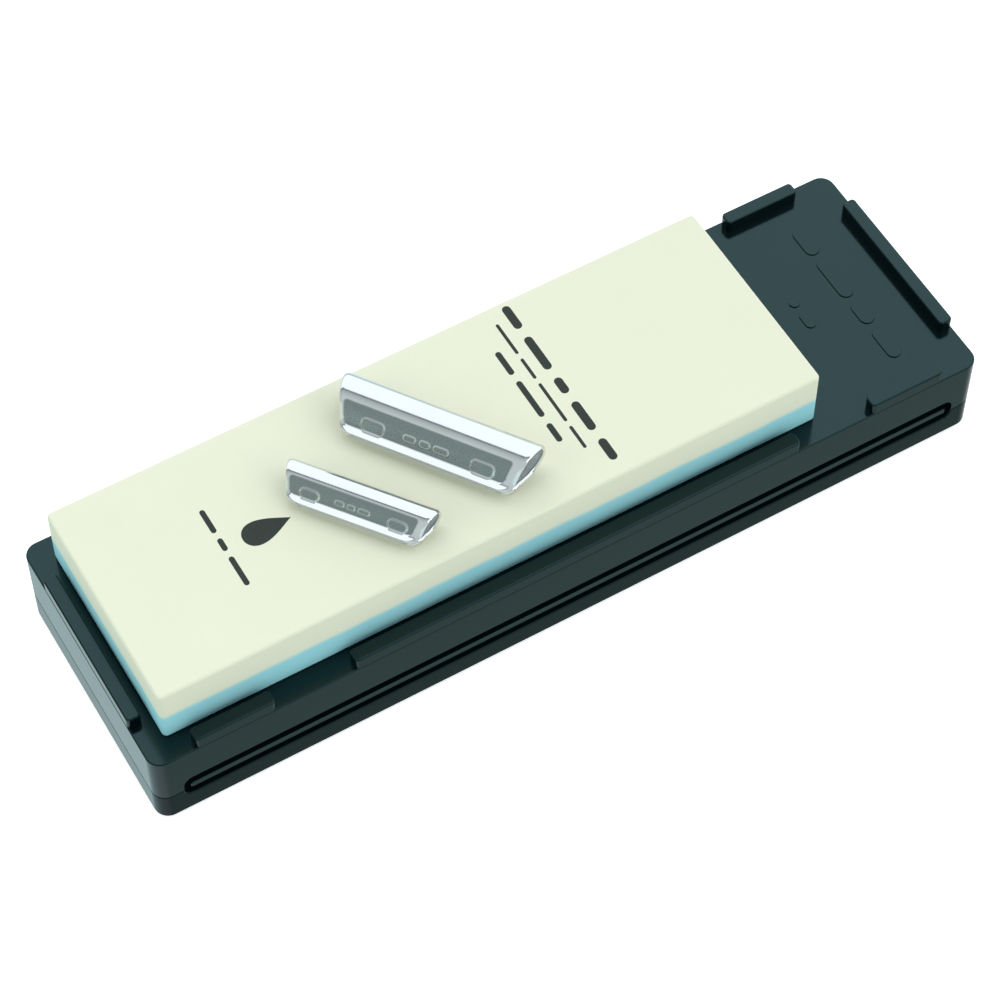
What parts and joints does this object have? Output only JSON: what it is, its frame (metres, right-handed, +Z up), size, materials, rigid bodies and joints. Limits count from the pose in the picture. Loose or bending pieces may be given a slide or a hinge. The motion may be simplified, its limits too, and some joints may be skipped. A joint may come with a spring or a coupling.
{
  "type": "sharpening whetstone",
  "caption": "Two-layer water whetstone resting on its two-part plastic storage case, with clip-on steel angle guides lying on the fine face.",
  "frame": {"origin": "on the floor under the middle of the case", "axes": "+X along the case towards its free end, +Y towards the case's back long side, +Z up"},
  "size_m": [0.27, 0.082, 0.0627],
  "materials": {
    "case_plastic": "smooth moulded, dark green-black, semi-gloss",
    "foot_rubber": "matt moulded rubber",
    "coarse_abrasive": null,
    "bond_blend": "thin blended zone between the two abrasives, matt",
    "fine_abrasive": null,
    "guide_steel": "folded spring steel sheet, satin with polished edges"
  },
  "bodies": {
    "case_base": {"lower_case_shell": "case_plastic", "foot_front_left": "foot_rubber", "foot_front_right": "foot_rubber", "foot_back_left": "foot_rubber", "foot_back_right": "foot_rubber"},
    "case_lid": {"upper_case_shell": "case_plastic"},
    "whetstone": {"coarse_stone_layer": "coarse_abrasive", "stone_bond_line": "bond_blend", "fine_stone_layer": "fine_abrasive"},
    "large_clip": {"large_guide": "guide_steel"},
    "small_clip": {"small_guide": "guide_steel"}
  },
  "joints": [
    {"name": "lid_lift", "type": "slide", "parent": "case_base", "child": "case_lid", "axis": [0, 0, 1], "range_m": [0, 0.04]},
    {"name": "stone_lift", "type": "slide", "parent": "case_lid", "child": "whetstone", "axis": [0, 0, 1], "range_m": [0, 0.03]},
    {"name": "large_guide_lift", "type": "slide", "parent": "whetstone", "child": "large_clip", "axis": [0, 0, 1], "range_m": [0, 0.03]},
    {"name": "small_guide_lift", "type": "slide", "parent": "whetstone", "child": "small_clip", "axis": [0, 0, 1], "range_m": [0, 0.03]}
  ]
}
